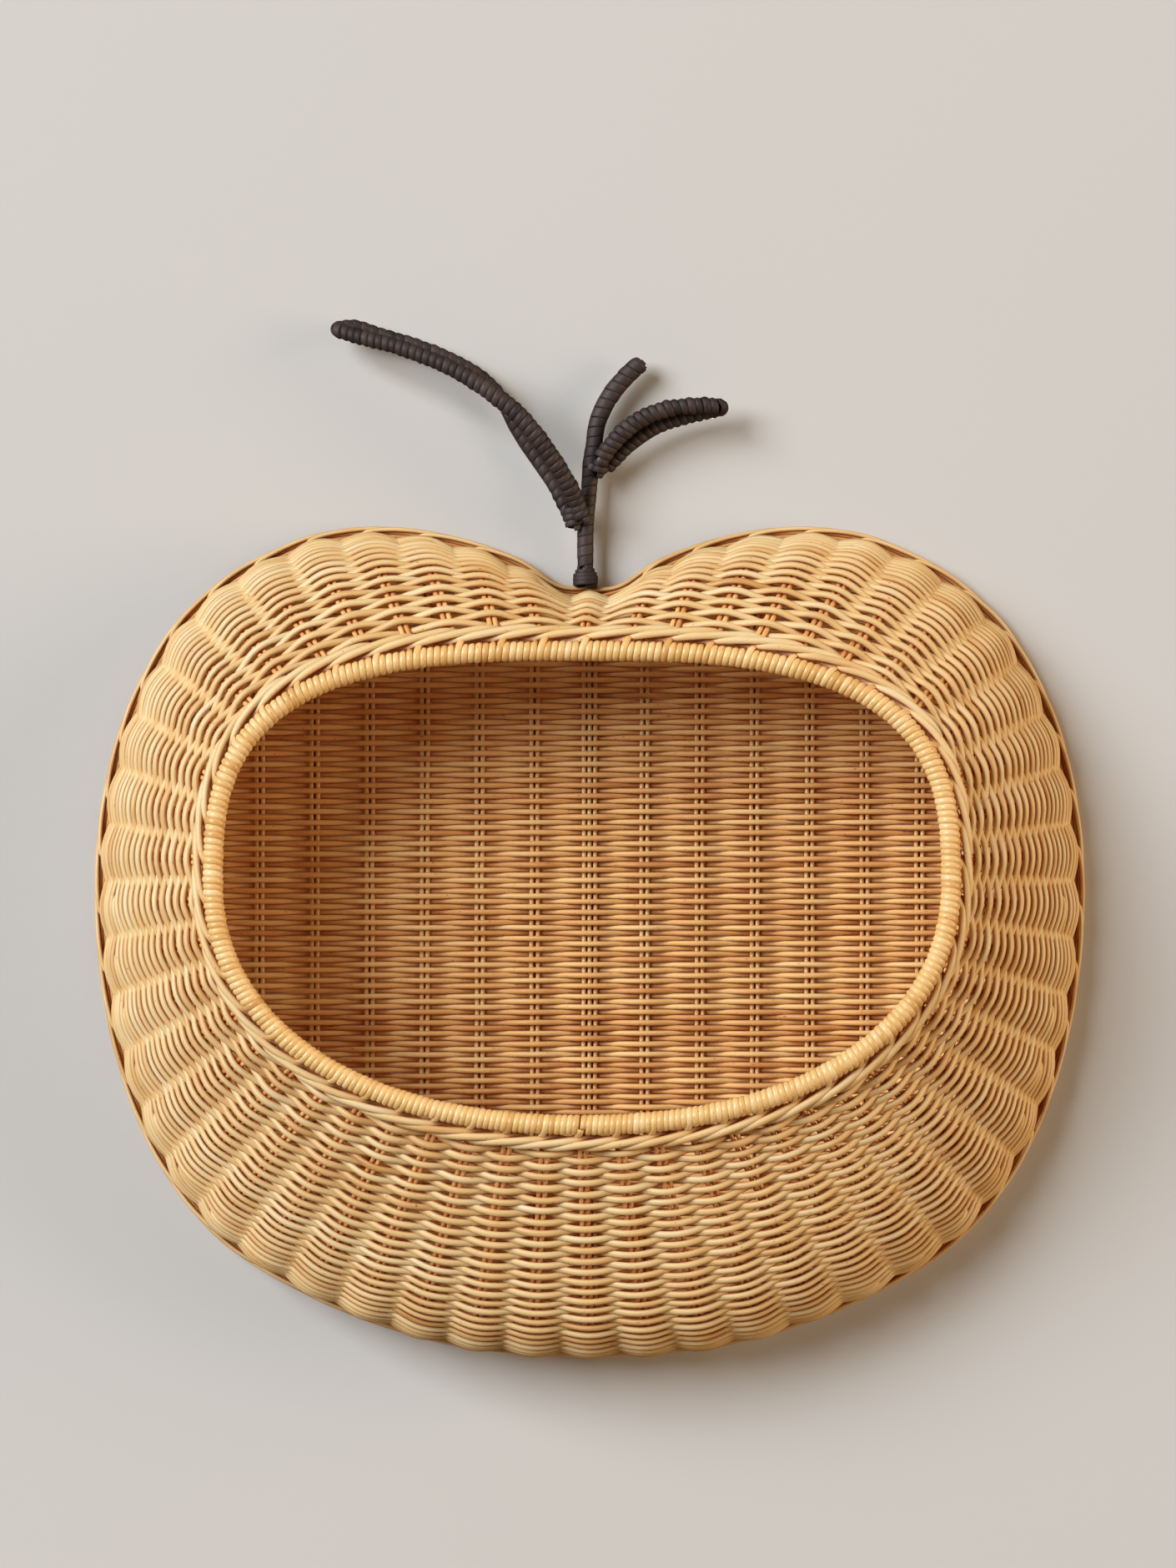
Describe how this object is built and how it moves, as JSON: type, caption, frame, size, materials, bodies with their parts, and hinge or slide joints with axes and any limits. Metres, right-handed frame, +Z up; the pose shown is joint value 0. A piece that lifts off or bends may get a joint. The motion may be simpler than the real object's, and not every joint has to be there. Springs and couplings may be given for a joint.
{
  "type": "wall basket",
  "caption": "Apple-shaped woven rattan wall basket with a flat back, a wide oval mouth and a dark bound wire stem with leaf loops.",
  "frame": {"origin": "middle of the flat woven back, on the plane of the wall that it hangs on", "axes": "+Z up toward the stem, +Y into the wall, the mouth faces -Y, +X to the right as seen from the front"},
  "size_m": [0.4, 0.0976, 0.4183],
  "materials": {
    "rattan": "satin, natural honey rattan",
    "pale_cane": "glossy flat cane",
    "dark_cane": "dark brown stained cane, satin",
    "wire": "plain drawn wire",
    "pin": "small bright pin head"
  },
  "bodies": {
    "root": {"back_weave": "rattan", "wall_weave": "rattan", "upright_pair_1": "rattan", "upright_pair_2": "rattan", "upright_pair_3": "rattan", "upright_pair_4": "rattan", "upright_pair_5": "rattan", "upright_pair_6": "rattan", "upright_pair_7": "rattan", "upright_pair_8": "rattan", "upright_pair_9": "rattan", "upright_pair_10": "rattan", "upright_pair_11": "rattan", "upright_pair_12": "rattan", "upright_pair_13": "rattan", "upright_pair_14": "rattan", "upright_pair_15": "rattan", "upright_pair_16": "rattan", "upright_pair_17": "rattan", "wall_pair_1": "rattan", "wall_pair_2": "rattan", "wall_pair_3": "rattan", "wall_pair_4": "rattan", "wall_pair_5": "rattan", "wall_pair_6": "rattan", "wall_pair_7": "rattan", "wall_pair_8": "rattan", "wall_pair_9": "rattan", "wall_pair_10": "rattan", "wall_pair_11": "rattan", "wall_pair_12": "rattan", "wall_pair_13": "rattan", "wall_pair_14": "rattan", "wall_pair_15": "rattan", "wall_pair_16": "rattan", "wall_pair_17": "rattan", "wall_pair_18": "rattan", "wall_pair_19": "rattan", "wall_pair_20": "rattan", "wall_pair_21": "rattan", "wall_pair_22": "rattan", "wall_pair_23": "rattan", "wall_pair_24": "rattan", "wall_pair_25": "rattan", "wall_pair_26": "rattan", "frame_wire": "wire", "border": "rattan", "rim_hoop": "rattan", "rim_binding": "pale_cane", "wale_outer": "rattan", "wale_middle": "rattan", "wale_inner": "rattan", "stem_wire": "wire", "stem_cuff": "dark_cane", "stem_binding": "dark_cane", "stem_pin": "pin", "left_leaf_wire": "wire", "left_leaf_binding": "dark_cane", "right_leaf_wire": "wire", "right_leaf_binding": "dark_cane"}
  },
  "joints": []
}
